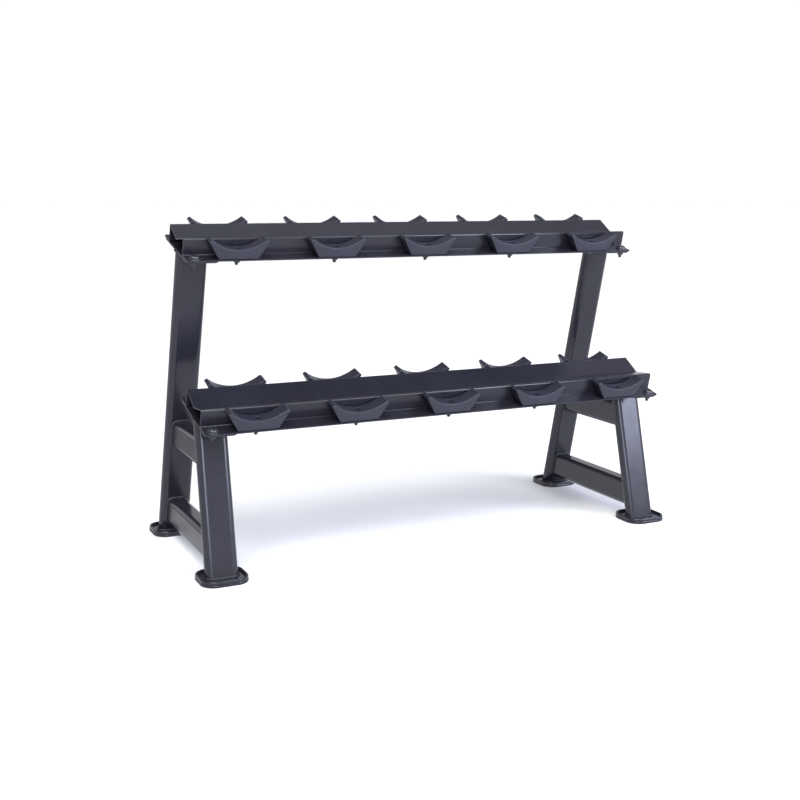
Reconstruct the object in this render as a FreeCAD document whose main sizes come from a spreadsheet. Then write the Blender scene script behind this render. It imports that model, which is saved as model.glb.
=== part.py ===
import FreeCAD, Part
import math
import os
import Sketcher

# Two-tier dumbbell rack with five pairs of saddles.
# Millimetres. X runs along the tiers, Y from the front to the rear, Z up from the floor.
# The origin is on the floor, midway between the feet.

DIMENSIONS = {
    "saddle_pitch": 240.0,
    "tier_half_span": 600.0,
    "tier_tilt": 14.7,
    "upper_y": 10.4,
    "upper_z": 714.9,
    "lower_y": -118.6,
    "lower_z": 350.5,
    "sheet": 3.0,
    "web_half": 57.7,
    "web_height": 41.0,
    "valley_height": 22.0,
    "flange_depth": 42.0,
    "flange_corner": 6.0,
    "bend_outer": 4.5,
    "bend_inner": 1.5,
    "leg_x": 562.0,
    "leg_width": 74.0,
    "leg_depth": 31.0,
    "leg_corner": 15.0,
    "tube_wall": 2.5,
    "leg_foot_y": 200.0,
    "bar_width": 45.0,
    "bar_height": 65.0,
    "bar_corner": 12.0,
    "bar_wall": 3.0,
    "lower_bar_z": 60.5,
    "upper_bar_z": 260.5,
    "mount_width": 76.0,
    "mount_length": 196.0,
    "mount_thick": 4.0,
    "mount_corner": 14.0,
    "pad_length": 108.0,
    "pad_depth": 100.0,
    "pad_corner": 33.0,
    "pad_height": 13.5,
    "pad_floor": 3.0,
    "pad_rim": 5.0,
    "pad_edge": 2.0,
    "foot_gap": 0.5,
    "foot_thick": 5.0,
    "saddle_depth": 35.0,
    "saddle_gap": 4.5,
    "saddle_base_half": 46.5,
    "saddle_outer_half": 70.5,
    "saddle_outer_height": 40.5,
    "saddle_tip_half": 63.5,
    "saddle_tip_height": 44.7,
    "trough_radius": 100.0,
    "saddle_edge": 2.0,
    "saddle_toe": 4.0,
    "recess_radius": 7.0,
    "recess_floor": 9.0,
    "m8_hole_radius": 4.5,
    "m8_radius": 4.0,
    "m8_head_radius": 6.5,
    "m8_head_height": 8.0,
    "m8_end": 17.5,
    "m8_key_width": 6.0,
    "m8_key_depth": 4.0,
    "m8_washer_radius": 8.0,
    "m8_washer_thick": 1.6,
    "m8_nut_width": 13.0,
    "m8_nut_thick": 6.8,
    "dome_radius": 11.5,
    "dome_height": 6.2,
    "dome_rim": 1.0,
    "dome_key_width": 6.0,
    "dome_key_depth": 4.0,
    "wide_washer_radius": 14.5,
    "wide_washer_thick": 2.0,
    "mount_bolt_end": 22.5,
    "mount_bolt_x": 580.0,
    "mount_bolt_from_web": 27.0,
    "bore_gap": 0.1,
}

SADDLES_PER_ROW = 5
SIDES = {"left": -1, "right": 1}
ROWS = {"front": -1, "rear": 1}
TIERS = ("upper", "lower")
UP = FreeCAD.Vector(0, 0, 1)
QUARTER_TURN = math.pi / 2

doc = FreeCAD.newDocument("DumbbellRack")
sheet = doc.addObject("Spreadsheet::Sheet", "p")
for row, (name, value) in enumerate(DIMENSIONS.items(), start=1):
    sheet.set(f"A{row}", name)
    sheet.set(f"B{row}", str(value))
    sheet.setAlias(f"B{row}", name)
doc.recompute()

exported = []

# Expressions shared by several pieces.
TILT = "p.tier_tilt * 1deg"
RISE = "(p.web_height - p.valley_height)"
SLANT_SHEET = f"p.sheet * sqrt(1 + ({RISE} / p.web_half)^2)"
FLANGE_EDGE = "(p.web_half + p.flange_depth)"
SADDLE_ROW = "(p.web_half + p.saddle_gap + p.saddle_depth / 2)"
MOUNT_ROW = "(p.web_half + p.mount_bolt_from_web)"
MOUNT_UNDERSIDE = "(p.sheet + p.mount_thick)"
FOOT_TOP = "(p.pad_floor + p.foot_thick)"


def evaluate(expression):
    """Return an expression's value in millimetres or plain units."""
    value = sheet.evalExpression(expression.replace("p.", ""))
    return float(getattr(value, "Value", value))


def bind(target, path, expression):
    """Drive one property by an expression."""
    target.setExpression(path, expression)


def new_body(label):
    """Start a named sub-part."""
    body = doc.addObject("PartDesign::Body", label)
    body.Label = label
    exported.append(body)
    return body


def plane(body, role):
    """Find one of the body's own origin planes or axes."""
    return next(item for item in body.Origin.OriginFeatures if item.Role == role)


def new_sketch(body, role, name):
    """Start a sketch on one of the body's origin planes."""
    sketch = body.newObject("Sketcher::SketchObject", name)
    sketch.AttachmentSupport = [(plane(body, role), "")]
    sketch.MapMode = "FlatFace"
    return sketch


def constrain(sketch, expression, kind, *geometry):
    """Add a dimension and drive it by an expression."""
    index = sketch.addConstraint(Sketcher.Constraint(kind, *geometry, evaluate(expression)))
    sketch.setExpression(f"Constraints[{index}]", expression)


def pin_point(sketch, item, end, x, y):
    """Fix one sketch point by its two coordinates."""
    constrain(sketch, x, "DistanceX", -1, 1, item, end)
    constrain(sketch, y, "DistanceY", -1, 1, item, end)


def outline(sketch, points, arcs=None):
    """Draw a closed outline. Edge number i is an arc where arcs gives (radius, depth of its middle)."""
    arcs = arcs or {}
    places = [FreeCAD.Vector(evaluate(x), evaluate(y), 0) for x, y in points]
    count = len(places)
    for i, start in enumerate(places):
        finish = places[(i + 1) % count]
        if i in arcs:
            middle = (start + finish) / 2 - FreeCAD.Vector(0, evaluate(arcs[i][1]), 0)
            sketch.addGeometry(Part.Arc(start, middle, finish))
        else:
            sketch.addGeometry(Part.LineSegment(start, finish))
    ends = {}
    for i, start in enumerate(places):
        near = FreeCAD.Vector(sketch.getPoint(i, 1)).distanceToPoint(start) < 1e-6
        ends[i] = (1, 2) if near else (2, 1)
    for i in range(count):
        following = (i + 1) % count
        sketch.addConstraint(Sketcher.Constraint("Coincident", i, ends[i][1], following, ends[following][0]))
    for i, (x, y) in enumerate(points):
        pin_point(sketch, i, ends[i][0], x, y)
    for i, (radius, _) in arcs.items():
        constrain(sketch, radius, "Radius", i)


def rounded_rectangle(sketch, width, height, radius):
    """Draw a rectangle with equal round corners, centred on the sketch's origin."""
    half_w = evaluate(width) / 2
    half_h = evaluate(height) / 2
    round_r = evaluate(radius)
    first = sketch.GeometryCount
    corners = [(1, -1), (1, 1), (-1, 1), (-1, -1)]
    for quarter, (sx, sy) in enumerate(corners):
        centre = FreeCAD.Vector(sx * (half_w - round_r), sy * (half_h - round_r), 0)
        circle = Part.Circle(centre, UP, round_r)
        start = (quarter - 1) * QUARTER_TURN
        sketch.addGeometry(Part.ArcOfCircle(circle, start, start + QUARTER_TURN))
    for quarter in range(4):
        following = (quarter + 1) % 4
        start = sketch.getPoint(first + quarter, 2)
        finish = sketch.getPoint(first + following, 1)
        line = sketch.addGeometry(Part.LineSegment(start, finish))
        sketch.addConstraint(Sketcher.Constraint("Tangent", first + quarter, 2, line, 1))
        sketch.addConstraint(Sketcher.Constraint("Tangent", line, 2, first + following, 1))
        direction = "Vertical" if quarter % 2 == 0 else "Horizontal"
        sketch.addConstraint(Sketcher.Constraint(direction, line))
        if quarter:
            sketch.addConstraint(Sketcher.Constraint("Equal", first, first + quarter))
    sketch.addConstraint(Sketcher.Constraint("Symmetric", first, 3, first + 2, 3, -1, 1))
    constrain(sketch, radius, "Radius", first)
    constrain(sketch, f"{width} - 2 * {radius}", "DistanceX", first + 2, 3, first + 1, 3)
    constrain(sketch, f"{height} - 2 * {radius}", "DistanceY", first, 3, first + 1, 3)


def circle_at(sketch, x, y, radius):
    """Draw a circle at a driven place."""
    centre = FreeCAD.Vector(evaluate(x), evaluate(y), 0)
    index = sketch.addGeometry(Part.Circle(centre, UP, evaluate(radius)))
    pin_point(sketch, index, 3, x, y)
    constrain(sketch, radius, "Radius", index)


def hexagon(sketch, across_flats):
    """Draw a regular hexagon centred on the sketch's origin."""
    corner = f"{across_flats} / sqrt(3)"
    flat = f"{across_flats} / 2"
    half = f"{across_flats} / sqrt(12)"
    outline(sketch, [
        (corner, "0"), (half, flat), (f"-{half}", flat),
        (f"-{corner}", "0"), (f"-{half}", f"-{flat}"), (half, f"-{flat}"),
    ])


def pad(body, sketch, name, length, middle=False, backwards=False):
    """Raise a sketch into a solid."""
    feature = body.newObject("PartDesign::Pad", name)
    feature.Profile = sketch
    feature.Midplane = middle
    feature.Reversed = backwards
    bind(feature, "Length", length)
    return feature


def cut_through(body, sketch, name):
    """Cut a sketch right through the body, both ways."""
    feature = body.newObject("PartDesign::Pocket", name)
    feature.Profile = sketch
    feature.Type = "ThroughAll"
    feature.Midplane = True
    return feature


def turn(body, sketch, name, kind="PartDesign::Revolution"):
    """Turn a sketch about its own vertical axis."""
    feature = body.newObject(kind, name)
    feature.Profile = sketch
    feature.ReferenceAxis = (sketch, ["V_Axis"])
    feature.Angle = 360
    return feature


def round_edges(body, base, name, radius, wanted):
    """Round the edges that a test picks."""
    doc.recompute()
    chosen = [f"Edge{i}" for i, edge in enumerate(base.Shape.Edges, start=1) if wanted(edge)]
    feature = body.newObject("PartDesign::Fillet", name)
    feature.Base = (base, chosen)
    bind(feature, "Radius", radius)
    return feature


def runs_along(edge, axis):
    """Tell whether a straight edge is parallel to an axis, given as 0, 1 or 2."""
    if edge.Curve.TypeId != "Part::GeomLine":
        return False
    return abs(abs(edge.tangentAt(edge.FirstParameter)[axis]) - 1) < 1e-6


def passes(edge, first_axis, first, second_axis, second):
    """Tell whether an edge's middle has the two given coordinates, in size only."""
    middle = edge.CenterOfMass
    near_first = abs(abs(middle[first_axis]) - first) < 0.01
    return near_first and abs(middle[second_axis] - second) < 0.01


def tier_place(item, tier, x, across, up):
    """Put a piece on a tier. Across and up are measured in the tilted tier."""
    bind(item, "Placement.Base.x", x)
    bind(item, "Placement.Base.y", f"p.{tier}_y + ({across}) * cos({TILT}) - ({up}) * sin({TILT})")
    bind(item, "Placement.Base.z", f"p.{tier}_z + ({across}) * sin({TILT}) + ({up}) * cos({TILT})")
    item.Placement.Rotation = FreeCAD.Rotation(FreeCAD.Vector(1, 0, 0), evaluate("p.tier_tilt"))
    bind(item, "Placement.Rotation.Angle", TILT)


def tier_beam(tier):
    """Folded hat-section beam: a flange each side, two webs and a shallow valley on top."""
    body = new_body(f"{tier}_tier_beam")
    inner = "(p.web_half - p.sheet)"
    under_peak = f"p.web_height - p.sheet * {RISE} / p.web_half - {SLANT_SHEET}"
    section = new_sketch(body, "YZ_Plane", "Section")
    outline(section, [
        (f"-{FLANGE_EDGE}", "0"), ("-p.web_half", "0"), ("-p.web_half", "p.web_height"),
        ("0", "p.valley_height"), ("p.web_half", "p.web_height"), ("p.web_half", "0"),
        (FLANGE_EDGE, "0"), (FLANGE_EDGE, "-p.sheet"), (inner, "-p.sheet"), (inner, under_peak),
        ("0", f"p.valley_height - {SLANT_SHEET}"), (f"-{inner}", under_peak),
        (f"-{inner}", "-p.sheet"), (f"-{FLANGE_EDGE}", "-p.sheet"),
    ])
    pad(body, section, "Fold", "2 * p.tier_half_span", middle=True)
    holes = new_sketch(body, "XY_Plane", "Holes")
    for side in (-1, 1):
        for i in range(SADDLES_PER_ROW):
            step = i - SADDLES_PER_ROW // 2
            circle_at(holes, f"{step} * p.saddle_pitch", f"{side} * {SADDLE_ROW}", "p.m8_hole_radius")
        for end in (-1, 1):
            circle_at(holes, f"{end} * p.mount_bolt_x", f"{side} * {MOUNT_ROW}", "p.m8_hole_radius")
    drilled = cut_through(body, holes, "BoltHoles")
    web = evaluate("p.web_half")
    inside = evaluate(inner)
    sheet_thick = evaluate("p.sheet")
    outer_bends = [(web, evaluate("p.web_height")), (inside, -sheet_thick),
                   (0, evaluate(f"p.valley_height - {SLANT_SHEET}"))]
    inner_bends = [(web, 0), (inside, evaluate(under_peak)), (0, evaluate("p.valley_height"))]

    def is_bend(edge, places):
        return runs_along(edge, 0) and any(passes(edge, 1, across, 2, up) for across, up in places)

    def is_flange_corner(edge):
        return runs_along(edge, 2) and passes(edge, 0, evaluate("p.tier_half_span"), 2, -sheet_thick / 2)

    bent = round_edges(body, drilled, "OuterBends", "p.bend_outer", lambda edge: is_bend(edge, outer_bends))
    bent = round_edges(body, bent, "InnerBends", "p.bend_inner", lambda edge: is_bend(edge, inner_bends))
    round_edges(body, bent, "FlangeCorners", "p.flange_corner", is_flange_corner)
    tier_place(body, tier, "0", "0", "0")


def saddle(tier, row, number):
    """Moulded saddle: a block with flared sides, a round trough and a recessed bolt hole."""
    body = new_body(f"{tier}_{row}_saddle_{number}")
    face = new_sketch(body, "XZ_Plane", "Face")
    outline(face, [
        ("-p.saddle_base_half", "0"), ("p.saddle_base_half", "0"),
        ("p.saddle_outer_half", "p.saddle_outer_height"), ("p.saddle_tip_half", "p.saddle_tip_height"),
        ("-p.saddle_tip_half", "p.saddle_tip_height"), ("-p.saddle_outer_half", "p.saddle_outer_height"),
    ], {3: ("p.trough_radius", "p.trough_radius - sqrt(p.trough_radius^2 - p.saddle_tip_half^2)")})
    block = pad(body, face, "Block", "p.saddle_depth", middle=True)
    half_depth = evaluate("p.saddle_depth") / 2
    toe = evaluate("p.saddle_base_half")

    def toe_edge(edge):
        return runs_along(edge, 1) and passes(edge, 0, toe, 2, 0)

    def tip_edge(edge):
        return runs_along(edge, 1) and abs(edge.CenterOfMass.x) > toe + 5

    def face_edge(edge):
        middle = edge.CenterOfMass
        return abs(abs(middle.y) - half_depth) < 0.01 and middle.z > 0.5

    rounded = round_edges(body, block, "Toes", "p.saddle_toe", toe_edge)
    rounded = round_edges(body, rounded, "Tips", "p.saddle_edge", tip_edge)
    round_edges(body, rounded, "Rims", "p.saddle_edge", face_edge)
    bore = new_sketch(body, "XZ_Plane", "Bore")
    outline(bore, [
        ("0", "-5"), ("p.m8_hole_radius", "-5"), ("p.m8_hole_radius", "p.recess_floor"),
        ("p.recess_radius", "p.recess_floor"), ("p.recess_radius", "p.saddle_tip_height"),
        ("0", "p.saddle_tip_height"),
    ])
    turn(body, bore, "Recess", "PartDesign::Groove")
    place = f"{number - 1 - SADDLES_PER_ROW // 2} * p.saddle_pitch"
    tier_place(body, tier, place, f"{ROWS[row]} * {SADDLE_ROW}", "0")


def mount_plate(side, tier):
    """Flat plate welded on top of a leg, bolted under both flanges of a tier."""
    body = new_body(f"{side}_{tier}_mount_plate")
    face = new_sketch(body, "XY_Plane", "Face")
    rounded_rectangle(face, "p.mount_width", "p.mount_length", "p.mount_corner")
    for across in (-1, 1):
        offset = f"{SIDES[side]} * (p.mount_bolt_x - p.leg_x)"
        circle_at(face, offset, f"{across} * {MOUNT_ROW}", "p.m8_hole_radius")
    pad(body, face, "Plate", "p.mount_thick", backwards=True)
    tier_place(body, tier, f"{SIDES[side]} * p.leg_x", "0", "-p.sheet")


def leg_lean(tier, direction):
    """Give a leg's run towards the rear for each unit of height."""
    top_y = f"(p.{tier}_y + {MOUNT_UNDERSIDE} * sin({TILT}))"
    top_z = f"(p.{tier}_z - {MOUNT_UNDERSIDE} * cos({TILT}))"
    return f"(({top_y} - {direction} * p.leg_foot_y) / {top_z})", top_y, top_z


def leg(side, name, tier, direction):
    """Leaning flat-oval tube from a foot plate up to a mount plate."""
    body = new_body(f"{side}_{name}")
    lean, top_y, top_z = leg_lean(tier, direction)
    section = new_sketch(body, "XY_Plane", "Section")
    rounded_rectangle(section, "p.leg_width", "p.leg_depth", "p.leg_corner")
    rounded_rectangle(section, "(p.leg_width - 2 * p.tube_wall)", "(p.leg_depth - 2 * p.tube_wall)",
                      "(p.leg_corner - p.tube_wall)")
    bind(section, "AttachmentOffset.Base.y", f"{direction} * p.leg_foot_y + {lean} * {FOOT_TOP}")
    bind(section, "AttachmentOffset.Base.z", FOOT_TOP)
    tube = pad(body, section, "Tube", f"{top_z} + 20")
    tube.UseCustomVector = True
    tube.Direction = FreeCAD.Vector(0, evaluate(lean), 1)
    tube.AlongSketchNormal = True
    bind(tube, "Direction.y", lean)
    mitre = new_sketch(body, "YZ_Plane", "Mitre")
    outline(mitre, [
        (f"{top_y} - 60", f"{top_z} - 60 * tan({TILT})"), (f"{top_y} + 60", f"{top_z} + 60 * tan({TILT})"),
        (f"{top_y} + 60", f"{top_z} + 120"), (f"{top_y} - 60", f"{top_z} + 120"),
    ])
    cut_through(body, mitre, "TopCut")
    bind(body, "Placement.Base.x", f"{SIDES[side]} * p.leg_x")


def crossbar(side, name, height):
    """Level tube between the front leg and the rear upright, its ends cut to their lean."""
    body = new_body(f"{side}_{name}_crossbar")
    front_lean = leg_lean("lower", -1)[0]
    rear_lean = leg_lean("upper", 1)[0]
    low = f"({height} - p.bar_height / 2)"
    high = f"({height} + p.bar_height / 2)"

    def front(level):
        return f"-p.leg_foot_y + p.leg_depth / 2 + {front_lean} * {level}"

    def rear(level):
        return f"p.leg_foot_y - p.leg_depth / 2 + {rear_lean} * {level}"

    profile = new_sketch(body, "YZ_Plane", "Profile")
    outline(profile, [(front(low), low), (rear(low), low), (rear(high), high), (front(high), high)])
    bar = pad(body, profile, "Bar", "p.bar_width", middle=True)
    round_edges(body, bar, "Corners", "p.bar_corner", lambda edge: runs_along(edge, 1))
    inside = new_sketch(body, "XZ_Plane", "Inside")
    rounded_rectangle(inside, "(p.bar_width - 2 * p.bar_wall)", "(p.bar_height - 2 * p.bar_wall)",
                      "(p.bar_corner - p.bar_wall)")
    bind(inside, "AttachmentOffset.Base.y", height)
    cut_through(body, inside, "Hollow")
    bind(body, "Placement.Base.x", f"{SIDES[side]} * p.leg_x")


def foot_pad(side, name, direction):
    """Moulded rubber foot: a shallow dish with a raised rim."""
    body = new_body(f"{side}_{name}_foot_pad")
    shape = new_sketch(body, "XY_Plane", "Shape")
    rounded_rectangle(shape, "p.pad_length", "p.pad_depth", "p.pad_corner")
    pad(body, shape, "Block", "p.pad_height")
    height = evaluate("p.pad_height")
    dish = new_sketch(body, "XY_Plane", "Dish")
    rounded_rectangle(dish, "(p.pad_length - 2 * p.pad_rim)", "(p.pad_depth - 2 * p.pad_rim)",
                      "(p.pad_corner - p.pad_rim)")
    bind(dish, "AttachmentOffset.Base.z", "p.pad_height")
    recess = body.newObject("PartDesign::Pocket", "Recess")
    recess.Profile = dish
    bind(recess, "Length", "p.pad_height - p.pad_floor")
    round_edges(body, recess, "Rim", "p.pad_edge", lambda edge: abs(edge.BoundBox.ZMin - height) < 0.01)
    bind(body, "Placement.Base.x", f"{SIDES[side]} * p.leg_x")
    bind(body, "Placement.Base.y", f"{direction} * p.leg_foot_y")


def foot_plate(side, name, direction):
    """Steel plate welded under a leg, sitting inside the rubber foot."""
    body = new_body(f"{side}_{name}_foot_plate")
    shape = new_sketch(body, "XY_Plane", "Shape")
    inset = "(p.pad_rim + p.foot_gap)"
    rounded_rectangle(shape, f"(p.pad_length - 2 * {inset})", f"(p.pad_depth - 2 * {inset})",
                      f"(p.pad_corner - {inset})")
    pad(body, shape, "Plate", "p.foot_thick")
    bind(body, "Placement.Base.x", f"{SIDES[side]} * p.leg_x")
    bind(body, "Placement.Base.y", f"{direction} * p.leg_foot_y")
    bind(body, "Placement.Base.z", "p.pad_floor")


def repeat(body, features, along, along_count, across):
    """Repeat one fastener along a tier and again on its rear flange."""
    array = body.newObject("PartDesign::MultiTransform", "Rows")
    array.Originals = features
    steps = (("X_Axis", along, along_count, "AlongTier"), ("Y_Axis", across, 2, "AcrossTier"))
    parts = []
    for axis, length, count, name in steps:
        step = body.newObject("PartDesign::LinearPattern", name)
        step.Direction = (plane(body, axis), [""])
        step.Occurrences = count
        bind(step, "Length", length)
        parts.append(step)
    array.Transformations = parts
    body.Tip = array


def saddle_group(body, tier, features, height):
    """Spread a saddle fastener over every saddle of a tier."""
    repeat(body, features, f"{SADDLES_PER_ROW - 1} * p.saddle_pitch", SADDLES_PER_ROW, f"2 * {SADDLE_ROW}")
    first = f"-{SADDLES_PER_ROW // 2} * p.saddle_pitch"
    tier_place(body, tier, first, f"-{SADDLE_ROW}", height)


def mount_group(body, tier, features, height):
    """Spread a mounting fastener over the four corners of a tier."""
    repeat(body, features, "2 * p.mount_bolt_x", 2, f"2 * {MOUNT_ROW}")
    tier_place(body, tier, "-p.mount_bolt_x", f"-{MOUNT_ROW}", height)


def hex_key(body, size, width, depth, height):
    """Cut a hexagon socket down into a screw head."""
    socket = new_sketch(body, "XY_Plane", f"Key{size}")
    hexagon(socket, width)
    bind(socket, "AttachmentOffset.Base.z", height)
    cut = body.newObject("PartDesign::Pocket", "Socket")
    cut.Profile = socket
    bind(cut, "Length", depth)
    return cut


def saddle_bolts(tier):
    """Socket-head screws that hold the saddles down."""
    body = new_body(f"{tier}_saddle_bolts")
    half = new_sketch(body, "XZ_Plane", "Half")
    end = "-(p.recess_floor + p.m8_end)"
    outline(half, [
        ("0", end), ("p.m8_radius - 0.8", end), ("p.m8_radius", f"{end} + 0.8"), ("p.m8_radius", "0"),
        ("p.m8_head_radius", "0"), ("p.m8_head_radius", "p.m8_head_height - 0.8"),
        ("p.m8_head_radius - 0.8", "p.m8_head_height"), ("0", "p.m8_head_height"),
    ])
    screw = turn(body, half, "Screw")
    key = hex_key(body, "M8", "p.m8_key_width", "p.m8_key_depth", "p.m8_head_height")
    saddle_group(body, tier, [screw, key], "p.recess_floor")


def mount_bolts(tier):
    """Dome-head screws through the flanges and the mount plates."""
    body = new_body(f"{tier}_mount_bolts")
    half = new_sketch(body, "XZ_Plane", "Half")
    end = "-(p.wide_washer_thick + p.mount_bolt_end)"
    outline(half, [
        ("0", end), ("p.m8_radius - 0.8", end), ("p.m8_radius", f"{end} + 0.8"), ("p.m8_radius", "0"),
        ("p.dome_radius", "0"), ("p.dome_radius", "p.dome_rim"),
        ("0.8 * p.dome_radius", "0.7 * p.dome_height"), ("0.5 * p.dome_radius", "p.dome_height"),
        ("0", "p.dome_height"),
    ])
    screw = turn(body, half, "Screw")
    key = hex_key(body, "Dome", "p.dome_key_width", "p.dome_key_depth", "p.dome_height")
    mount_group(body, tier, [screw, key], "p.wide_washer_thick")


def ring(body, outer, bore, thick):
    """Make a plain washer hanging below its seat."""
    face = new_sketch(body, "XY_Plane", "Face")
    circle_at(face, "0", "0", outer)
    circle_at(face, "0", "0", bore)
    return pad(body, face, "Ring", thick, backwards=True)


def nut(body, width, bore, thick):
    """Make a hexagon nut hanging below its seat."""
    face = new_sketch(body, "XY_Plane", "Face")
    hexagon(face, width)
    circle_at(face, "0", "0", bore)
    return pad(body, face, "Nut", thick, backwards=True)


def fasteners(tier):
    """Screws, washers and nuts of one tier."""
    saddle_bolts(tier)
    washers = new_body(f"{tier}_saddle_washers")
    washer = ring(washers, "p.m8_washer_radius", "p.m8_radius + 0.2", "p.m8_washer_thick")
    saddle_group(washers, tier, [washer], "-p.sheet")
    nuts = new_body(f"{tier}_saddle_nuts")
    piece = nut(nuts, "p.m8_nut_width", "p.m8_radius + p.bore_gap", "p.m8_nut_thick")
    saddle_group(nuts, tier, [piece], "-(p.sheet + p.m8_washer_thick)")
    mount_bolts(tier)
    upper = new_body(f"{tier}_mount_head_washers")
    washer = ring(upper, "p.wide_washer_radius", "p.m8_radius + 0.2", "p.wide_washer_thick")
    mount_group(upper, tier, [washer], "p.wide_washer_thick")
    under = new_body(f"{tier}_mount_nut_washers")
    washer = ring(under, "p.m8_washer_radius", "p.m8_radius + 0.2", "p.m8_washer_thick")
    mount_group(under, tier, [washer], f"-{MOUNT_UNDERSIDE}")
    nuts = new_body(f"{tier}_mount_nuts")
    piece = nut(nuts, "p.m8_nut_width", "p.m8_radius + p.bore_gap", "p.m8_nut_thick")
    mount_group(nuts, tier, [piece], f"-({MOUNT_UNDERSIDE} + p.m8_washer_thick)")


for side_name in SIDES:
    leg(side_name, "front_leg", "lower", -1)
    leg(side_name, "rear_upright", "upper", 1)
    crossbar(side_name, "lower", "p.lower_bar_z")
    crossbar(side_name, "upper", "p.upper_bar_z")
    for row_name, row_sign in ROWS.items():
        foot_pad(side_name, row_name, row_sign)
        foot_plate(side_name, row_name, row_sign)
    for tier_name in TIERS:
        mount_plate(side_name, tier_name)
for tier_name in TIERS:
    tier_beam(tier_name)
    for row_name in ROWS:
        for position in range(1, SADDLES_PER_ROW + 1):
            saddle(tier_name, row_name, position)
    fasteners(tier_name)
doc.recompute()

for item in doc.Objects:
    if "Invalid" in item.State or "Error" in item.State:
        raise RuntimeError(f"{item.Label} did not build: {item.State}")
os.makedirs("parts", exist_ok=True)
for item in exported:
    if item.Shape.isNull() or not item.Shape.isValid() or not item.Shape.Solids:
        raise RuntimeError(f"{item.Label} has no valid solid")
    item.Shape.exportStep(f"parts/{item.Label}.step")
    print(item.Label, len(item.Shape.Solids), "solids", round(item.Shape.Volume), "mm3")
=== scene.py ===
import math

import bmesh
import bpy
from mathutils import Matrix, Vector, noise


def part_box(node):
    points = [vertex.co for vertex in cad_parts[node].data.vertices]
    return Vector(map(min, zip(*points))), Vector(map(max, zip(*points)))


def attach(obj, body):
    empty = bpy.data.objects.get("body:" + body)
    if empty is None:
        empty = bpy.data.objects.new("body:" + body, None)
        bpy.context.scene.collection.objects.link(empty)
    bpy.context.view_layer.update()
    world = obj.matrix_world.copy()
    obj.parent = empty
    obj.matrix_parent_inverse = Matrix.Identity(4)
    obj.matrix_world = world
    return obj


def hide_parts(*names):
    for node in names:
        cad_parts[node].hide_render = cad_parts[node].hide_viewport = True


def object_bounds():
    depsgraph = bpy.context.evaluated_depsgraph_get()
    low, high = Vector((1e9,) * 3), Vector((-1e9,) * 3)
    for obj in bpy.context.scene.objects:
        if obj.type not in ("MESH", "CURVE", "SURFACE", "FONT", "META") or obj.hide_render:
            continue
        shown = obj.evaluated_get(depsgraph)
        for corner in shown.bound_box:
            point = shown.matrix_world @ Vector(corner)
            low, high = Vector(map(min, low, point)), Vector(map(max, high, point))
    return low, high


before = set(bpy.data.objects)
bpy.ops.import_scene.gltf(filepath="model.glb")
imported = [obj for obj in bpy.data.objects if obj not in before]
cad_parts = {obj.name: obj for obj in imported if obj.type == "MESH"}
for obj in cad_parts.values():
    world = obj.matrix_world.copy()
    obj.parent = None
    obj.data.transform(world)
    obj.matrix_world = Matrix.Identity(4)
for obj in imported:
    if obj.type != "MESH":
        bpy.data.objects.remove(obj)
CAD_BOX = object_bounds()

# Two-tier dumbbell rack. Everything is in metres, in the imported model's frame:
# X along the tiers, Y from the front to the rear, Z up from the floor.
MM = 0.001
BODY = "root"

# Tier profile, as in the CAD.
TILT = math.radians(14.7)
WEB_HALF = 57.7 * MM
FLANGE_DEPTH = 42 * MM
SHEET = 3 * MM
MOUNT_THICK = 4 * MM

# Saddle, as in the CAD.
SADDLE_DEPTH = 35 * MM
SADDLE_GAP = 4.5 * MM
SADDLE_ROW = WEB_HALF + SADDLE_GAP + SADDLE_DEPTH / 2
SADDLE_BASE_HALF = 46.5 * MM
SADDLE_OUTER = (70.5 * MM, 40.5 * MM)
SADDLE_TIP = (63.5 * MM, 44.7 * MM)
SADDLE_ROUND = 1.8 * MM
SADDLE_FOOT_ROUND = 4 * MM
TROUGH_RADIUS = 100 * MM
TROUGH_AXIS = SADDLE_TIP[1] + math.sqrt(TROUGH_RADIUS ** 2 - SADDLE_TIP[0] ** 2)
RECESS_RADIUS = 7 * MM
RECESS_FLOOR = 9 * MM

# Legs, bars and feet, as in the CAD.
LEG_WIDTH, LEG_DEPTH, LEG_CORNER = 74 * MM, 31 * MM, 15 * MM
BAR_WIDTH, BAR_HEIGHT, BAR_CORNER = 45 * MM, 65 * MM, 12 * MM
PAD_LENGTH, PAD_DEPTH, PAD_CORNER, PAD_HEIGHT = 108 * MM, 100 * MM, 33 * MM, 13.5 * MM
PAD_FLOOR, PAD_RIM = 3 * MM, 5 * MM
FOOT_TOP = 8 * MM

# Fasteners, as in the CAD.
MOUNT_ROW = WEB_HALF + 27 * MM
SCREW_RADIUS, SCREW_PITCH, BORE = 4 * MM, 1.25 * MM, 4.2 * MM
KEY, KEY_DEPTH = 6 * MM, 4 * MM
WASHER_RADIUS, WASHER = 8 * MM, 1.6 * MM
WIDE_WASHER_RADIUS, WIDE_WASHER = 14.5 * MM, 2 * MM
NUT_FLATS, NUT_BORE, NUT = 13 * MM, 4.1 * MM, 6.8 * MM
SOCKET_RADIUS, SOCKET_HEIGHT = 6.5 * MM, 8 * MM
DOME_RADIUS, DOME_HEIGHT, DOME_RIM = 11.5 * MM, 6.2 * MM, 1 * MM
SADDLE_SCREW_END, MOUNT_SCREW_END = -26.5 * MM, -22.5 * MM

# Weld beads: half widths, the length of a ripple, and how far a bead stands off the joint's corner.
LEG_BEAD, BAR_BEAD = 2.6 * MM, 3.2 * MM
RIPPLE, RIPPLE_STEPS = 4 * MM, 5
BEAD_OUT, BEAD_LIFT = 1 * MM, 0.6 * MM

# Brightness of the studio round the rack, by the height of the direction: white walls, a dim band
# and a soft ceiling.
WALL_TONES = ((0.15, 1.0), (0.42, 0.22), (0.72, 0.22), (0.86, 0.55), (1.0, 0.6))
WALL_TINT, WALL_STRENGTH = (0.92, 0.94, 1.0), 1.1

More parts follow.
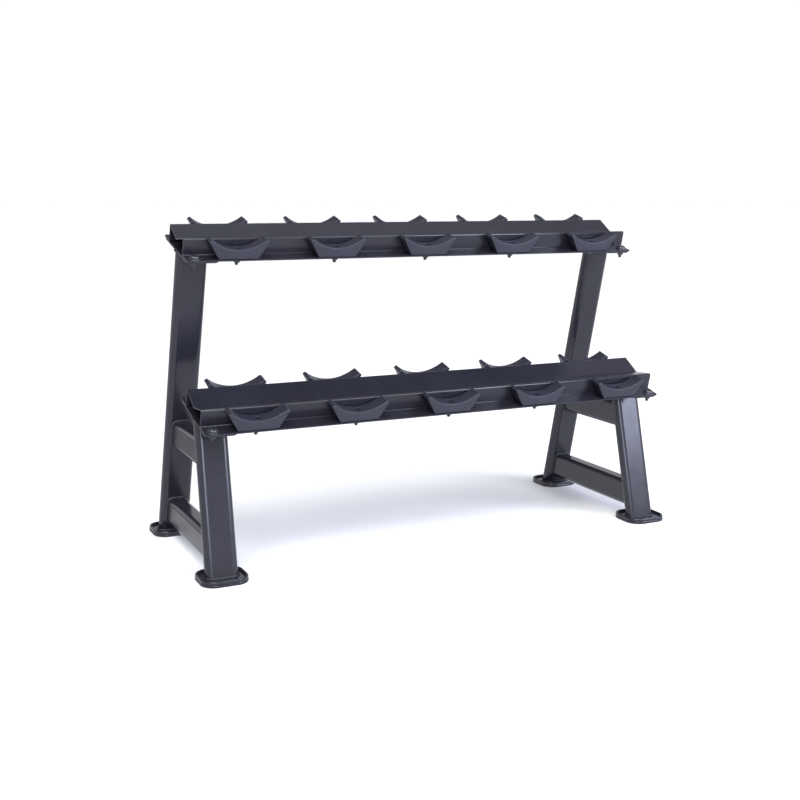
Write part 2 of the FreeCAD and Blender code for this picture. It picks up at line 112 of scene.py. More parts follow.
# Dark strip below the horizon, which the floor hides from all but mirror reflections: the X of its
# middle direction, where it starts and stops fading sideways, and the heights where it fades.
STRIP_MIDDLE, STRIP_FADE = -0.3, (0.03, 0.3)
STRIP_FOOT, STRIP_TOP = (-0.31, -0.23), (-0.05, -0.01)
STRIP_DEPTH = 0.75

# Camera: place, heading in degrees, and lens in millimetres.
CAMERA_PLACE = (-1.3097, -2.6050, 0.8672)
CAMERA_YAW, CAMERA_PITCH, CAMERA_ROLL = 26.09, 5.09, 0.38
CAMERA_LENS, CAMERA_SHIFT = 52.75, (-0.0011, -0.1424)

SIDES = ("left", "right")
ROWS = {"front": -1, "rear": 1}
TIERS = ("upper", "lower")
SADDLES_PER_ROW = 5


# ---------------------------------------------------------------- places

def tier_frame(tier):
    """Matrix of a tilted tier: X along it, Y across, Z up from the top of its flanges."""
    low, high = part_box(f"{tier}_tier_beam")
    half_width = WEB_HALF + FLANGE_DEPTH
    y = low.y + half_width * math.cos(TILT)
    z = low.z + half_width * math.sin(TILT) + SHEET * math.cos(TILT)
    return Matrix.Translation(((low.x + high.x) / 2, y, z)) @ Matrix.Rotation(TILT, 4, "X")


TIER = {tier: tier_frame(tier) for tier in TIERS}


def centre_of(node):
    """Middle of a CAD node's box."""
    low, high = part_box(node)
    return (low + high) / 2


# ---------------------------------------------------------------- materials

def new_material(name):
    """Start a material and return it with its nodes, links and shader."""
    material = bpy.data.materials.new(name)
    material.use_nodes = True
    nodes, links = material.node_tree.nodes, material.node_tree.links
    return material, nodes, links, nodes["Principled BSDF"]


def add(nodes, kind, **settings):
    """Add a shader node with some of its properties set."""
    node = nodes.new(kind)
    for key, value in settings.items():
        setattr(node, key, value)
    return node


def noise_field(nodes, links, place, scale, detail, roughness=0.55):
    """Noise texture at a real scale, in features per metre."""
    field = add(nodes, "ShaderNodeTexNoise")
    field.inputs["Scale"].default_value = scale
    field.inputs["Detail"].default_value = detail
    field.inputs["Roughness"].default_value = roughness
    links.new(place, field.inputs["Vector"])
    return field.outputs["Fac"]


def ramp(nodes, links, factor, low, high, low_at=0.0, high_at=1.0):
    """Colour ramp between two colours."""
    node = add(nodes, "ShaderNodeValToRGB")
    first, last = node.color_ramp.elements
    first.position, last.position = low_at, high_at
    first.color, last.color = (*low, 1), (*high, 1)
    links.new(factor, node.inputs["Fac"])
    return node.outputs["Color"]


def span(nodes, links, factor, low, high, from_low=0.3, from_high=0.7):
    """Map a factor to a range of values."""
    node = add(nodes, "ShaderNodeMapRange")
    node.inputs["From Min"].default_value = from_low
    node.inputs["From Max"].default_value = from_high
    node.inputs["To Min"].default_value = low
    node.inputs["To Max"].default_value = high
    links.new(factor, node.inputs["Value"])
    return node.outputs["Result"]


def mix(nodes, links, factor, first, second):
    """Blend two colours by a factor."""
    node = add(nodes, "ShaderNodeMix", data_type="RGBA")
    links.new(factor, node.inputs["Factor"])
    # The node has sockets of several types under each name.
    for socket, colour in (("A", first), ("B", second)):
        target = next(i for i in node.inputs if i.name == socket and i.type == "RGBA")
        if isinstance(colour, tuple):
            target.default_value = (*colour, 1)
        else:
            links.new(colour, target)
    return next(o for o in node.outputs if o.type == "RGBA")


def bump(nodes, links, height, strength, distance, base=None):
    """Bump from a height field, on top of another bump if one is given."""
    node = add(nodes, "ShaderNodeBump")
    node.inputs["Strength"].default_value = strength
    node.inputs["Distance"].default_value = distance
    links.new(height, node.inputs["Height"])
    if base is not None:
        links.new(base, node.inputs["Normal"])
    return node.outputs["Normal"]


def edge_mask(nodes, links, radius):
    """How far a point lies inside a rounded edge's width, from 0 on flats to 1 on sharp edges."""
    softened = add(nodes, "ShaderNodeBevel", samples=4)
    softened.inputs["Radius"].default_value = radius
    plain = add(nodes, "ShaderNodeNewGeometry")
    dot = add(nodes, "ShaderNodeVectorMath", operation="DOT_PRODUCT")
    links.new(softened.outputs["Normal"], dot.inputs[0])
    links.new(plain.outputs["Normal"], dot.inputs[1])
    return span(nodes, links, dot.outputs["Value"], 1.0, 0.0, 0.75, 0.98)


def coated(name, dark, light, speckle_and_highlight, rough, peel, grain, edge_light):
    """Satin coat: two near tones, fine speckle, orange peel, and edges lighter as a painted
    highlight.
    """
    material, nodes, links, shader = new_material(name)
    place = add(nodes, "ShaderNodeTexCoord").outputs["Object"]
    tone = noise_field(nodes, links, place, scale=9, detail=4)
    colour = ramp(nodes, links, tone, dark, light, low_at=0.3, high_at=0.7)
    speckle = noise_field(nodes, links, place, scale=2600, detail=2, roughness=0.7)
    fine = ramp(nodes, links, speckle, (0, 0, 0), (1, 1, 1), low_at=0.58, high_at=0.8)
    dusting = span(nodes, links, fine, 0, 0.1, from_low=0, from_high=1)
    colour = mix(nodes, links, dusting, colour, speckle_and_highlight)
    patchy = noise_field(nodes, links, place, scale=140, detail=4, roughness=0.7)
    # Painted highlight: rounded edges mixed toward the light colour, in patches.
    lit_edges = add(nodes, "ShaderNodeMath", operation="MULTIPLY")
    links.new(edge_mask(nodes, links, 1.2 * MM), lit_edges.inputs[0])
    patches = span(nodes, links, patchy, 0, edge_light, from_low=0.35, from_high=0.7)
    links.new(patches, lit_edges.inputs[1])
    links.new(mix(nodes, links, lit_edges.outputs[0], colour, speckle_and_highlight), shader.inputs["Base Color"])
    smear = noise_field(nodes, links, place, scale=24, detail=5, roughness=0.65)
    links.new(span(nodes, links, smear, rough - 0.045, rough + 0.045), shader.inputs["Roughness"])
    dimples = noise_field(nodes, links, place, scale=330, detail=2)
    orange = bump(nodes, links, dimples, peel, 0.35 * MM)
    grained = bump(nodes, links, speckle, grain, 0.06 * MM, orange)
    links.new(grained, shader.inputs["Normal"])
    return material, shader


def frame_paint():
    """Blue-black powder coat with a semi-gloss orange peel."""
    material, shader = coated("frame_powder_coat",
                              dark=(0.0125, 0.0124, 0.0182), light=(0.017, 0.0169, 0.0246),
                              speckle_and_highlight=(0.07, 0.073, 0.1),
                              rough=0.2, peel=0.06, grain=0.04, edge_light=0.35)
    shader.inputs["Specular IOR Level"].default_value = 0.45
    return material


def saddle_moulding():
    """Dark grey moulding with a fine eroded grain, its edges lighter as a painted highlight."""
    material, shader = coated("saddle_moulding",
                              dark=(0.0135, 0.0135, 0.0235), light=(0.019, 0.019, 0.032),
                              speckle_and_highlight=(0.065, 0.067, 0.09),
                              rough=0.42, peel=0.08, grain=0.16, edge_light=0.2)
    shader.inputs["Specular IOR Level"].default_value = 0.5
    return material


def foot_rubber():
    """Glossy black rubber with a faint dusty bloom, its edges lighter as a painted highlight."""
    material, shader = coated("foot_rubber",
                              dark=(0.008, 0.008, 0.013), light=(0.014, 0.014, 0.022),
                              speckle_and_highlight=(0.05, 0.05, 0.066),
                              rough=0.2, peel=0.08, grain=0.06, edge_light=0.14)
    shader.inputs["Specular IOR Level"].default_value = 0.5
    return material


def black_steel(name, dark, light, metallic):
    """Black-finished steel for the fasteners, a few edges light grey as a painted highlight."""
    material, shader = coated(name, dark, light, speckle_and_highlight=(0.34, 0.34, 0.37),
                              rough=0.2, peel=0.03, grain=0.05, edge_light=0.4)
    shader.inputs["Metallic"].default_value = metallic
    return material


def floor_paint():
    """Pale matt studio floor."""
    material, nodes, links, shader = new_material("studio_floor")
    place = add(nodes, "ShaderNodeTexCoord").outputs["Object"]
    tone = noise_field(nodes, links, place, scale=1.5, detail=3)
    colour = ramp(nodes, links, tone, (0.93, 0.93, 0.935), (0.95, 0.95, 0.955))
    links.new(colour, shader.inputs["Base Color"])
    shader.inputs["Roughness"].default_value = 0.9
    shader.inputs["Specular IOR Level"].default_value = 0.1
    return material


PAINT = frame_paint()
MOULDING = saddle_moulding()
RUBBER = foot_rubber()
# One black steel twice: the screws in the saddles' recesses painted darker as painted shade, the
# mount screws painted lighter as a painted highlight.
STEEL = {
    "mount": black_steel("highlit_mount_fastener", (0.045, 0.045, 0.053), (0.075, 0.075, 0.088), 0.6),
    "saddle": black_steel("shaded_saddle_fastener", (0.02, 0.02, 0.025), (0.035, 0.035, 0.042), 0.4),
}


# ---------------------------------------------------------------- mesh helpers

def mesh_piece(name, build, material, nodes=(), place=None, *, sharp):
    """Make a piece from a bmesh builder. It stands for the given CAD nodes."""
    form = bmesh.new()
    build(form)
    bmesh.ops.remove_doubles(form, verts=form.verts, dist=1e-6)
    bmesh.ops.recalc_face_normals(form, faces=form.faces)
    shade(form, sharp)
    mesh = bpy.data.meshes.new(name)
    form.to_mesh(mesh)
    form.free()
    mesh.materials.append(material)
    place_piece(name, mesh, nodes, place)


def place_piece(name, mesh, nodes, place):
    """Put a mesh in the scene as a piece of the rack."""
    piece = bpy.data.objects.new(name, mesh)
    bpy.context.scene.collection.objects.link(piece)
    piece.matrix_world = place or Matrix.Identity(4)
    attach(piece, BODY)
    if nodes:
        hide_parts(*nodes)


def arc(centre, radius, start, finish, steps):
    """Points along an arc, angles in degrees."""
    points = []
    for i in range(steps + 1):
        angle = math.radians(start + (finish - start) * i / steps)
        points.append((centre[0] + radius * math.cos(angle), centre[1] + radius * math.sin(angle)))
    return points


def rounded_rectangle(width, height, corner, steps):
    """Closed outline, anticlockwise, with round corners."""
    x, y = width / 2 - corner, height / 2 - corner
    points = []
    for quarter, centre in enumerate(((x, -y), (x, y), (-x, y), (-x, -y))):
        start = 90 * (quarter - 1)
        points += arc(centre, corner, start, start + 90, steps)
    return points


def rounded(points, radii, steps=6):
    """Round the corners of a closed polygon, each by its own radius."""
    outline = []
    for i, (point, radius) in enumerate(zip(points, radii)):
        here = Vector(point)
        if radius == 0:
            outline.append(tuple(here))
            continue
        before = (Vector(points[i - 1]) - here).normalized()
        after = (Vector(points[(i + 1) % len(points)]) - here).normalized()
        half = before.angle(after) / 2
        reach = radius / math.tan(half)
        middle = here + (before + after).normalized() * (radius / math.sin(half))
        start = here + before * reach - middle
        finish = here + after * reach - middle
        for k in range(steps + 1):
            turn = start.lerp(finish, k / steps)
            outline.append(tuple(middle + turn.normalized() * radius))
    return outline


def inset(points, distance):
    """Move a closed anticlockwise outline inwards along its own normals."""
    moved = []
    for i in range(len(points)):
        before, after = Vector(points[i - 1]), Vector(points[(i + 1) % len(points)])
        along = (after - before).normalized()
        moved.append((points[i][0] - along.y * distance, points[i][1] + along.x * distance))
    return moved


def bridge(form, low, high):
    """Faces between two loops of equal size."""
    for i in range(len(low)):
        following = (i + 1) % len(low)
        form.faces.new((low[i], low[following], high[following], high[i]))


def skin(form, rings):
    """Join rings of equal size into a tube, with a face on each end."""
    loops = [[form.verts.new(point) for point in ring] for ring in rings]
    for low, high in zip(loops, loops[1:]):
        bridge(form, low, high)
    form.faces.new(reversed(loops[0]))
    form.faces.new(loops[-1])


def circle(steps):
    """Angles round a full turn."""
    return [2 * math.pi * i / steps for i in range(steps)]


def shade(form, sharp):
    """Smooth shading with edges above an angle kept sharp."""
    limit = math.radians(sharp)
    for face in form.faces:
        face.smooth = True
    for edge in form.edges:
        edge.smooth = len(edge.link_faces) == 2 and edge.calc_face_angle(0) < limit


def scratch_object(name, form):
    """Turn a bmesh into a scene object."""
    bmesh.ops.recalc_face_normals(form, faces=form.faces)
    mesh = bpy.data.meshes.new(name)
    form.to_mesh(mesh)
    form.free()
    holder = bpy.data.objects.new(name, mesh)
    bpy.context.scene.collection.objects.link(holder)
    return holder


def cut(piece, tool):
    """Cut a tool out of an object, remove both and return the result as plain mesh."""
    difference = piece.modifiers.new("cut", "BOOLEAN")
    difference.operation = "DIFFERENCE"
    difference.solver = "EXACT"
    difference.object = tool
    bpy.context.view_layer.update()
    evaluated = piece.evaluated_get(bpy.context.evaluated_depsgraph_get())
    result = bpy.data.meshes.new_from_object(evaluated)
    for spent in (piece, tool):
        bpy.data.objects.remove(spent)
    return result


# ---------------------------------------------------------------- saddles

def saddle_outline():
    """Front view of a saddle, anticlockwise from the left end of its base."""
    reach = math.degrees(math.asin(SADDLE_TIP[0] / TROUGH_RADIUS))
    trough = arc((0, TROUGH_AXIS), TROUGH_RADIUS, 270 + reach, 270 - reach, steps=56)
    left_outer = (-SADDLE_OUTER[0], SADDLE_OUTER[1])
    base = [(-SADDLE_BASE_HALF, 0), (SADDLE_BASE_HALF, 0)]
    radii = [SADDLE_FOOT_ROUND] * 2 + [SADDLE_ROUND] + [0] * len(trough) + [SADDLE_ROUND]
    return rounded(base + [SADDLE_OUTER] + trough + [left_outer], radii)


def saddle_blank():
    """Solid moulding with rounded rims."""
    outline = saddle_outline()
    half = SADDLE_DEPTH / 2
    steps = 6
    rim = []
    for i in range(steps + 1):
        angle = math.radians(90 * i / steps)
        rim.append((SADDLE_ROUND * (1 - math.sin(angle)),
                    SADDLE_ROUND * (1 - math.cos(angle)) - half))
    levels = rim + [(depth, -along) for depth, along in reversed(rim)]
    form = bmesh.new()
    skin(form, [[(x, along, z) for x, z in inset(outline, depth)] for depth, along in levels])
    return scratch_object("saddle_blank", form)


def recess_tool():
    """Cutter for the screw's recess, straight at first and flared at its mouth."""
    floor = TROUGH_AXIS - TROUGH_RADIUS
    # In millimetres wider than the recess and up from the trough's floor.
    mouth = [(0, -0.6), (0.06, -0.34), (0.2, -0.12), (0.42, 0.05), (0.8, 0.25), (0.8, 9)]
    levels = [(RECESS_RADIUS, RECESS_FLOOR)]
    levels += [(RECESS_RADIUS + wider * MM, floor + rise * MM) for wider, rise in mouth]
    form = bmesh.new()
    skin(form, [[(r * math.cos(a), r * math.sin(a), z) for a in circle(48)] for r, z in levels])
    return scratch_object("saddle_cutter", form)


def saddles():
    """Ten saddles on each tier, all alike."""
    shared = cut(saddle_blank(), recess_tool())
    form = bmesh.new()
    form.from_mesh(shared)
    shade(form, sharp=32)
    form.to_mesh(shared)
    form.free()
    shared.materials.clear()
    shared.materials.append(MOULDING)
    for tier in TIERS:
        for row, sign in ROWS.items():
            for number in range(1, SADDLES_PER_ROW + 1):
                node = f"{tier}_{row}_saddle_{number}"
                spot = Matrix.Translation((centre_of(node).x, sign * SADDLE_ROW, 0))
                place_piece(f"{node}_moulding", shared.copy(), [node],
                            TIER[tier] @ spot)


# ---------------------------------------------------------------- feet

def pad_profile():
    """Section of a rubber dish from the underside's middle outwards, over the rim and inside."""
    # In millimetres inwards from the outline and up: grooves underneath, then the stepped wall.
    profile = []
    for ring in range(4):
        near = 24 - 5 * ring
        profile += [(near, 0), (near - 1, 0.9), (near - 2.2, 0.9), (near - 3.2, 0)]
    profile += [(1.6, 0), (0.6, 0.3), (0.1, 1), (0, 1.8), (0, 5), (0.3, 5.6), (1.5, 5.8),
                (1.7, 6.3), (1.7, 6.9), (1.5, 7.4), (0.6, 7.7), (0.3, 8.2)]
    profile = [(depth * MM, z * MM) for depth, z in profile]
    # The round rim, then the inside down to the dish's floor.
    step = 0.3 * MM
    middle, radius = (PAD_RIM + step) / 2, (PAD_RIM - step) / 2
    for degrees in range(180, -1, -20):
        angle = math.radians(degrees)
        profile.append((middle + radius * math.cos(angle),
                        PAD_HEIGHT - radius * (1 - math.sin(angle))))
    profile += [(PAD_RIM, PAD_FLOOR + 1.2 * MM), (PAD_RIM + 0.4 * MM, PAD_FLOOR + 0.4 * MM),
                (PAD_RIM + 1.2 * MM, PAD_FLOOR)]
    return profile


def foot_pads():
    """Rubber dishes with a stepped wall, a round rim and grooves underneath."""
    outline = rounded_rectangle(PAD_LENGTH, PAD_DEPTH, PAD_CORNER, steps=14)

    def build(form):
        skin(form, [[(x, y, z) for x, y in inset(outline, depth)] for depth, z in pad_profile()])

    for side in SIDES:
        for row in ROWS:
            node = f"{side}_{row}_foot_pad"
            middle = centre_of(node)
            place = Matrix.Translation((middle.x, middle.y, 0))
            mesh_piece(f"{node}_rubber", build, RUBBER, [node], place,
                       sharp=40)


# ---------------------------------------------------------------- fasteners

def hexagon(across_flats):
    """Radius of a hexagon at an angle."""
    def radius(angle):
        turn = (angle + math.pi / 6) % (math.pi / 3) - math.pi / 6
        return across_flats / 2 / math.cos(turn)
    return radius


def ring_of(middle, radius, z, steps):
    """Ring of points round a vertical axis. The radius may be a function of the angle."""
    ring = []
    for angle in circle(steps):
        r = radius(angle) if callable(radius) else radius
        ring.append((middle[0] + r * math.cos(angle), middle[1] + r * math.sin(angle),
                     middle[2] + z))
    return ring


def lathe(form, middle, profile, steps=48):
    """Shape about a vertical axis, from levels of a radius and a height."""
    skin(form, [ring_of(middle, radius, z, steps) for radius, z in profile])


def threaded_tail(form, middle, top, end):
    """M8 screw thread between two heights, with a chamfered end."""
    depth = 0.54 * SCREW_PITCH
    per_turn = 8
    count = int((top - end) / SCREW_PITCH * per_turn)
    levels = []
    for level in range(count + 1):
        z = end + (top - end) * level / count
        fade = min(1, (z - end) / (1.2 * SCREW_PITCH))

        def thread(angle, z=z, fade=fade):
            phase = (z / SCREW_PITCH - angle / (2 * math.pi)) % 1
            cutting = depth * abs(2 * phase - 1)
            return min(SCREW_RADIUS - cutting, SCREW_RADIUS - depth * (1 - fade) * 1.1)

        levels.append((thread, z))
    lathe(form, middle, levels, steps=36)


def nut(form, middle):
    """Hexagon nut hanging below its seat, with both rims chamfered."""
    shape = hexagon(NUT_FLATS)
    chamfer, slope = NUT_FLATS / 2 * 0.96, 1.9

    def rim(rise):
        return lambda angle: min(shape(angle), chamfer + rise * slope)

    levels = [0, 0.3 * MM, 0.7 * MM, 1.2 * MM, 1.8 * MM]
    mouth = NUT_BORE + 0.6 * MM
    profile = [(NUT_BORE, -NUT), (mouth, -NUT)]
    profile += [(rim(level), -NUT + level) for level in levels]
    profile += [(rim(level), -level) for level in reversed(levels)]
    profile += [(mouth, 0), (NUT_BORE, 0)]
    lathe(form, middle, profile, steps=72)


def washer(form, middle):
    """Plain washer hanging below its seat, with softened rims."""
    soft = 0.25 * MM
    lathe(form, middle, [(BORE, -WASHER), (WASHER_RADIUS - soft, -WASHER),
                         (WASHER_RADIUS, -WASHER + soft), (WASHER_RADIUS, -soft),
                         (WASHER_RADIUS - soft, 0), (BORE, 0)])


def wide_washer(form, middle):
    """Broad washer under a dome head, its upper face falling away to a round rim."""
    # In millimetres inwards from the rim and up.
    edge = [(0.2, -2), (0, -1.7), (0.1, -1.2), (0.6, -0.6), (1.5, -0.15), (2.8, 0)]
    profile = [(WIDE_WASHER_RADIUS - inside * MM, z * MM) for inside, z in edge]
    lathe(form, middle, [(BORE, -WIDE_WASHER)] + profile + [(BORE, 0)])


def key_recess(height):
    """Levels of a hexagon key's recess, from its chamfer down to its floor."""
    key = hexagon(KEY)
    return [(key, height - KEY_DEPTH), (0.5 * MM, height - KEY_DEPTH - 0.4 * MM)]


def dome_screw(form, middle):
    """M8 screw with a broad dome head, a hexagon recess and a threaded tail."""
    profile = [(DOME_RADIUS - 0.3 * MM, 0), (DOME_RADIUS, 0.3 * MM), (DOME_RADIUS, DOME_RIM)]
    rise, sweep, steps = DOME_HEIGHT - DOME_RIM, 63, 7
    for step in range(1, steps + 1):
        angle = math.radians(sweep * step / steps)
        profile.append((DOME_RADIUS * math.cos(angle) ** 0.8,
                        DOME_RIM + rise * math.sin(angle * 90 / sweep)))
    profile += [(hexagon(KEY), DOME_HEIGHT - 0.25 * MM)] + key_recess(DOME_HEIGHT)
    lathe(form, middle, profile, steps=72)
    top = -(WIDE_WASHER + SHEET + MOUNT_THICK + WASHER)
    threaded_tail(form, middle, top, MOUNT_SCREW_END - WIDE_WASHER)


def socket_screw(form, middle):
    """M8 screw with a socket head and a threaded tail."""
    # In millimetres inwards from the head's side, and up from its base or down from its top.
    rim = [(0.2, 0), (0, 0.2)]
    crown = [(0, 0.8), (0.25, 0.25), (0.8, 0)]
    profile = [(SOCKET_RADIUS - inside * MM, z * MM) for inside, z in rim]
    profile += [(SOCKET_RADIUS - inside * MM, SOCKET_HEIGHT - z * MM) for inside, z in crown]
    profile += [(4 * MM, SOCKET_HEIGHT), (hexagon(KEY), SOCKET_HEIGHT - 0.3 * MM)]
    lathe(form, middle, profile + key_recess(SOCKET_HEIGHT), steps=72)
    threaded_tail(form, middle, -(RECESS_FLOOR + SHEET), SADDLE_SCREW_END)


def fasteners():
    """Screws, washers and nuts. Each piece holds all of a kind on one tier."""
    pitch = centre_of("upper_front_saddle_2").x - centre_of("upper_front_saddle_1").x
    beam_middle = centre_of("upper_tier_beam").x
    spread = SADDLES_PER_ROW // 2
    saddle_x = [beam_middle + step * pitch for step in range(-spread, spread + 1)]
    low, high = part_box("upper_mount_head_washers")
    mount_x = [low.x + WIDE_WASHER_RADIUS, high.x - WIDE_WASHER_RADIUS]
    spots = {"saddle": [(x, side * SADDLE_ROW) for x in saddle_x for side in (-1, 1)],
             "mount": [(x, side * MOUNT_ROW) for x in mount_x for side in (-1, 1)]}
    under = -(SHEET + MOUNT_THICK)
    kinds = [
        ("saddle", "bolts", RECESS_FLOOR, socket_screw),
        ("saddle", "washers", -SHEET, washer),
        ("saddle", "nuts", -SHEET - WASHER, nut),
        ("mount", "bolts", WIDE_WASHER, dome_screw),
        ("mount", "head_washers", WIDE_WASHER, wide_washer),
        ("mount", "nut_washers", under, washer),
        ("mount", "nuts", under - WASHER, nut),
    ]
    for tier in TIERS:
        for place, kind, level, shape in kinds:
            def build(form):
                for x, across in spots[place]:
                    shape(form, (x, across, level))
            node = f"{tier}_{place}_{kind}"
            mesh_piece(f"{node}_detail", build, STEEL[place], [node],
                       TIER[tier], sharp=30)


# ---------------------------------------------------------------- weld beads

def bead(form, path, normals, radius):
    """Weld bead along a closed path. Each point has the direction that its fillet faces."""
    lengths = [0]
    for start, finish in zip(path, path[1:] + path[:1]):
        lengths.append(lengths[-1] + (finish - start).length)
    total = lengths[-1]
    count = round(total / RIPPLE) * RIPPLE_STEPS
    rings = []
    place = 0
    for step in range(count):
        distance = total * step / count
        while lengths[place + 1] < distance:
            place += 1
        share = (distance - lengths[place]) / (lengths[place + 1] - lengths[place])
        following = (place + 1) % len(path)
        point = path[place].lerp(path[following], share)
        along = (path[following] - path[place]).normalized()
        out = normals[place].lerp(normals[following], share).normalized()
        side = along.cross(out).normalized()
        phase = step / RIPPLE_STEPS % 1
        wander = noise.noise(point * 90)
        size = radius * (0.86 + 0.28 * math.sin(math.pi * phase) + 0.2 * wander)
        ring = []
        for angle in circle(10):
            ring.append(point + (out * math.cos(angle) + side * math.sin(angle)) * size)
        rings.append(ring)
    loops = [[form.verts.new(p) for p in ring] for ring in rings]
    for low, high in zip(loops, loops[1:] + loops[:1]):
        bridge(form, low, high)


def weld_piece(name, path, facing, radius):
    """One bead as a painted piece."""
    mesh_piece(name, lambda form: bead(form, path, facing, radius), PAINT, sharp=60)


def mount_face(tier):
    """Middle of the mount plates' undersides, and the direction that they face."""
    middle = TIER[tier] @ Vector((0, 0, -(SHEET + MOUNT_THICK)))
    return middle, TIER[tier].to_3x3() @ Vector((0, 0, -1))


def leg_line(side, leg):
    """Foot point and lean of a leg's middle line, and the tier on top of it."""
    row, tier = ("front", "lower") if leg == "front_leg" else ("rear", "upper")
    foot = centre_of(f"{side}_{row}_foot_pad")
    top, _ = mount_face(tier)
    lean = (top.y - foot.y) / top.z
    return Vector((foot.x, foot.y, 0)), Vector((0, lean, 1)), tier


def welds_of_leg(side, leg):
    """Beads where a leg meets its mount plate and its foot plate."""
    foot, lean, tier = leg_line(side, leg)
    outline = rounded_rectangle(LEG_WIDTH, LEG_DEPTH, LEG_CORNER, steps=8)
    seats = {"top": mount_face(tier), "foot": (Vector((0, 0, FOOT_TOP)), Vector((0, 0, 1)))}
    for name, (seat, normal) in seats.items():
        path, facing = [], []
        for (x, y), (ox, oy) in zip(outline, inset(outline, -BEAD_OUT)):
            start = foot + Vector((ox, oy, 0))
            reach = (seat - start).dot(normal) / lean.dot(normal)
            outward = Vector((ox - x, oy - y, 0)).normalized()
            path.append(start + lean * reach + normal * BEAD_LIFT)
            facing.append((outward + normal).normalized())
        weld_piece(f"{side}_{leg}_{name}_weld", path, facing, LEG_BEAD)


def welds_of_bar(side, bar):
    """Beads where a crossbar meets the front leg and the rear upright."""
    height = centre_of(f"{side}_{bar}_crossbar").z
    outline = rounded_rectangle(BAR_WIDTH, BAR_HEIGHT, BAR_CORNER, steps=8)
    for leg, toward in (("front_leg", 1), ("rear_upright", -1)):
        foot, lean, _ = leg_line(side, leg)
        path, facing = [], []
        normal = Vector((0, toward, -toward * lean.y)).normalized()
        for (x, z), (ox, oz) in zip(outline, inset(outline, -BEAD_OUT)):
            level = height + oz
            y = foot.y + lean.y * level + toward * LEG_DEPTH / 2
            outward = Vector((ox - x, 0, oz - z)).normalized()
            path.append(Vector((foot.x + ox, y, level)) + normal * BEAD_LIFT)
            facing.append((outward + normal).normalized())
        weld_piece(f"{side}_{bar}_crossbar_{leg}_weld", path, facing, BAR_BEAD)


def welds():
    """All the beads that show."""
    for side in SIDES:
        for leg in ("front_leg", "rear_upright"):
            welds_of_leg(side, leg)
        for bar in ("lower", "upper"):
            welds_of_bar(side, bar)


# ---------------------------------------------------------------- painted steel

def painted_steel():
    """Give the welded frame and the folded beams their coat, and soften their cut edges."""
    steel = [f"{tier}_tier_beam" for tier in TIERS]
    for side in SIDES:
        steel += [f"{side}_front_leg", f"{side}_rear_upright"]
        steel += [f"{side}_{bar}_crossbar" for bar in ("lower", "upper")]
        steel += [f"{side}_{tier}_mount_plate" for tier in TIERS]
        steel += [f"{side}_{row}_foot_plate" for row in ROWS]
    for node in steel:
        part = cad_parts[node]
        for slot in part.material_slots:
            slot.material = PAINT
        if node.endswith(("beam", "plate")):
            soften(part, 0.5 * MM)


def soften(part, width):
    """Round a plain part's cut edges."""
    weld = part.modifiers.new("weld", "WELD")
    weld.merge_threshold = 1e-6
    flat = part.modifiers.new("flat", "DECIMATE")
    flat.decimate_type = "DISSOLVE"
    flat.angle_limit = math.radians(0.5)
    edge = part.modifiers.new("edge", "BEVEL")
    edge.width = width
    edge.segments = 2
    edge.limit_method = "ANGLE"
    edge.angle_limit = math.radians(40)
    edge.harden_normals = True


# ---------------------------------------------------------------- stage, light, camera

def math_node(nodes, links, operation, first, second=None, third=None):
    """Arithmetic on sockets and plain numbers."""
    node = add(nodes, "ShaderNodeMath", operation=operation)
    for socket, value in zip(node.inputs, (first, second, third)):
        if isinstance(value, (int, float)):
            socket.default_value = value
        elif value is not None:
            links.new(value, socket)
    return node.outputs[0]


def surroundings():
    """White studio with a dim band above its walls, and a dark strip left of the rack's middle."""
    world = bpy.data.worlds.new("studio")
    world.use_nodes = True
    nodes, links = world.node_tree.nodes, world.node_tree.links
    direction = add(nodes, "ShaderNodeTexCoord").outputs["Generated"]
    split = add(nodes, "ShaderNodeSeparateXYZ")
    links.new(direction, split.inputs[0])
    across, up = split.outputs["X"], split.outputs["Z"]

    height = add(nodes, "ShaderNodeValToRGB")
    levels = height.color_ramp.elements
    levels[0].position, levels[1].position = WALL_TONES[0][0], WALL_TONES[-1][0]
    for level, _ in WALL_TONES[1:-1]:
        levels.new(level)
    for level, (_, tone) in zip(levels, WALL_TONES):
        level.color = (tone, tone, tone, 1)
    links.new(up, height.inputs["Fac"])

    offset = math_node(nodes, links, "ADD", across, -STRIP_MIDDLE)
    aside = math_node(nodes, links, "ABSOLUTE", offset)
    strip = span(nodes, links, aside, STRIP_DEPTH, 0.0, *STRIP_FADE)
    under = span(nodes, links, up, 1.0, 0.0, *STRIP_TOP)
    over = span(nodes, links, up, 0.0, 1.0, *STRIP_FOOT)
    band = math_node(nodes, links, "MULTIPLY", under, over)
    dark = math_node(nodes, links, "MULTIPLY", strip, band)
    strength = math_node(nodes, links, "MULTIPLY_ADD", dark, -1, height.outputs["Color"])
    scaled = math_node(nodes, links, "MULTIPLY", strength, WALL_STRENGTH)
    links.new(scaled, nodes["Background"].inputs["Strength"])
    nodes["Background"].inputs["Color"].default_value = (*WALL_TINT, 1)
    bpy.context.scene.world = world
    bpy.context.scene.view_settings.view_transform = "Standard"


def floor_sheet():
    """Pale floor that reaches the horizon."""
    form = bmesh.new()
    bmesh.ops.create_grid(form, x_segments=1, y_segments=1, size=40)
    mesh = bpy.data.meshes.new("studio_floor")
    form.to_mesh(mesh)
    form.free()
    mesh.materials.append(floor_paint())
    floor = bpy.data.objects.new("studio_floor", mesh)
    bpy.context.scene.collection.objects.link(floor)
    floor.visible_glossy = False


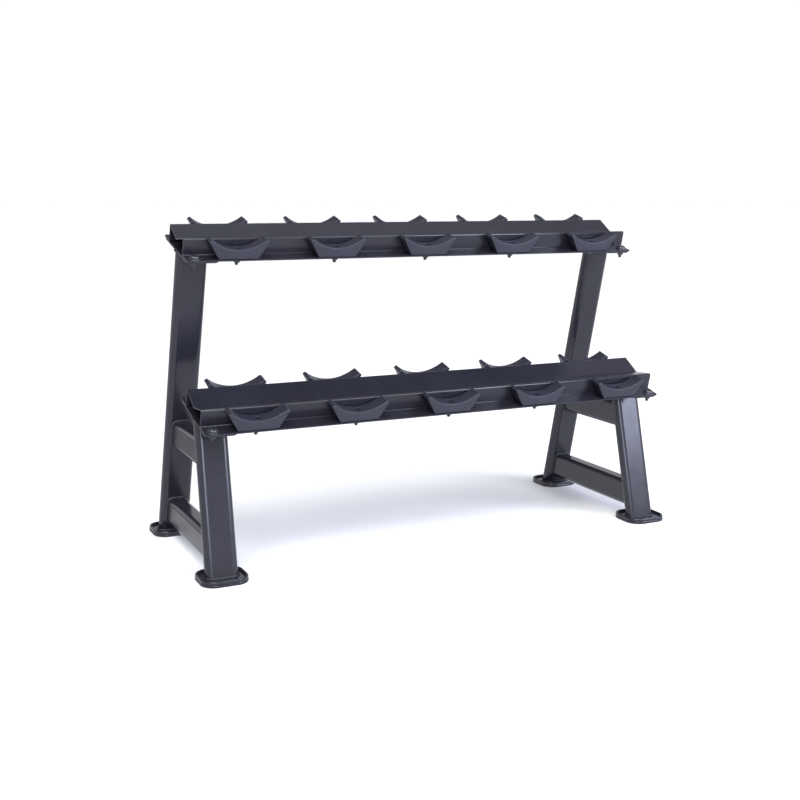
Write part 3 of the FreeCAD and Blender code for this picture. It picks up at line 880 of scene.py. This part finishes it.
def softbox(name, place, target, size, power, colour):
    """Large soft lamp aimed at a point."""
    lamp = bpy.data.lights.new(name, "AREA")
    lamp.shape = "RECTANGLE"
    lamp.size, lamp.size_y = size
    lamp.energy = power
    lamp.color = colour
    holder = bpy.data.objects.new(name, lamp)
    bpy.context.scene.collection.objects.link(holder)
    holder.location = place
    holder.rotation_euler = (Vector(target) - Vector(place)).to_track_quat("-Z", "Y").to_euler()


def lights():
    """Three large lamps in front, two on the right and one on the left, and a broad soft sun."""
    middle = (CAD_BOX[0] + CAD_BOX[1]) / 2
    softbox("key", (3.2, -3.6, 1.9), middle, (2.2, 2.0), 165, (0.71, 0.76, 1.0))
    softbox("strip", (1.7, -3.1, 3.1), middle, (3.8, 1.6), 125, (0.90, 0.93, 1.0))
    softbox("edge", (-1.15, -3.3, 1.25), middle, (1.2, 1.3), 46, (0.74, 0.78, 1.0))
    sky = bpy.data.lights.new("sky", "SUN")
    sky.energy = 2.6
    sky.angle = math.radians(40)
    sky.color = (1.0, 0.99, 0.97)
    holder = bpy.data.objects.new("sky", sky)
    bpy.context.scene.collection.objects.link(holder)
    holder.rotation_euler = Vector((0.35, 0.45, -0.82)).to_track_quat("-Z", "Y").to_euler()


def camera():
    """Camera left of the front, a little above the upper tier."""
    yaw, pitch, roll = (math.radians(a) for a in (CAMERA_YAW, CAMERA_PITCH, CAMERA_ROLL))
    forward = Vector((math.sin(yaw) * math.cos(pitch), math.cos(yaw) * math.cos(pitch),
                      -math.sin(pitch)))
    level = Vector((math.cos(yaw), -math.sin(yaw), 0))
    above = level.cross(forward)
    right = level * math.cos(roll) + above * math.sin(roll)
    up = above * math.cos(roll) - level * math.sin(roll)
    rotation = Matrix((right, up, -forward)).transposed().to_4x4()
    lens = bpy.data.cameras.new("camera")
    lens.sensor_width = 36
    lens.lens = CAMERA_LENS
    lens.shift_x, lens.shift_y = CAMERA_SHIFT
    lens.clip_end = 200
    holder = bpy.data.objects.new("camera", lens)
    bpy.context.scene.collection.objects.link(holder)
    holder.matrix_world = Matrix.Translation(CAMERA_PLACE) @ rotation
    bpy.context.scene.camera = holder


saddles()
foot_pads()
fasteners()
welds()
painted_steel()
surroundings()
floor_sheet()
lights()
camera()

bpy.context.view_layer.update()
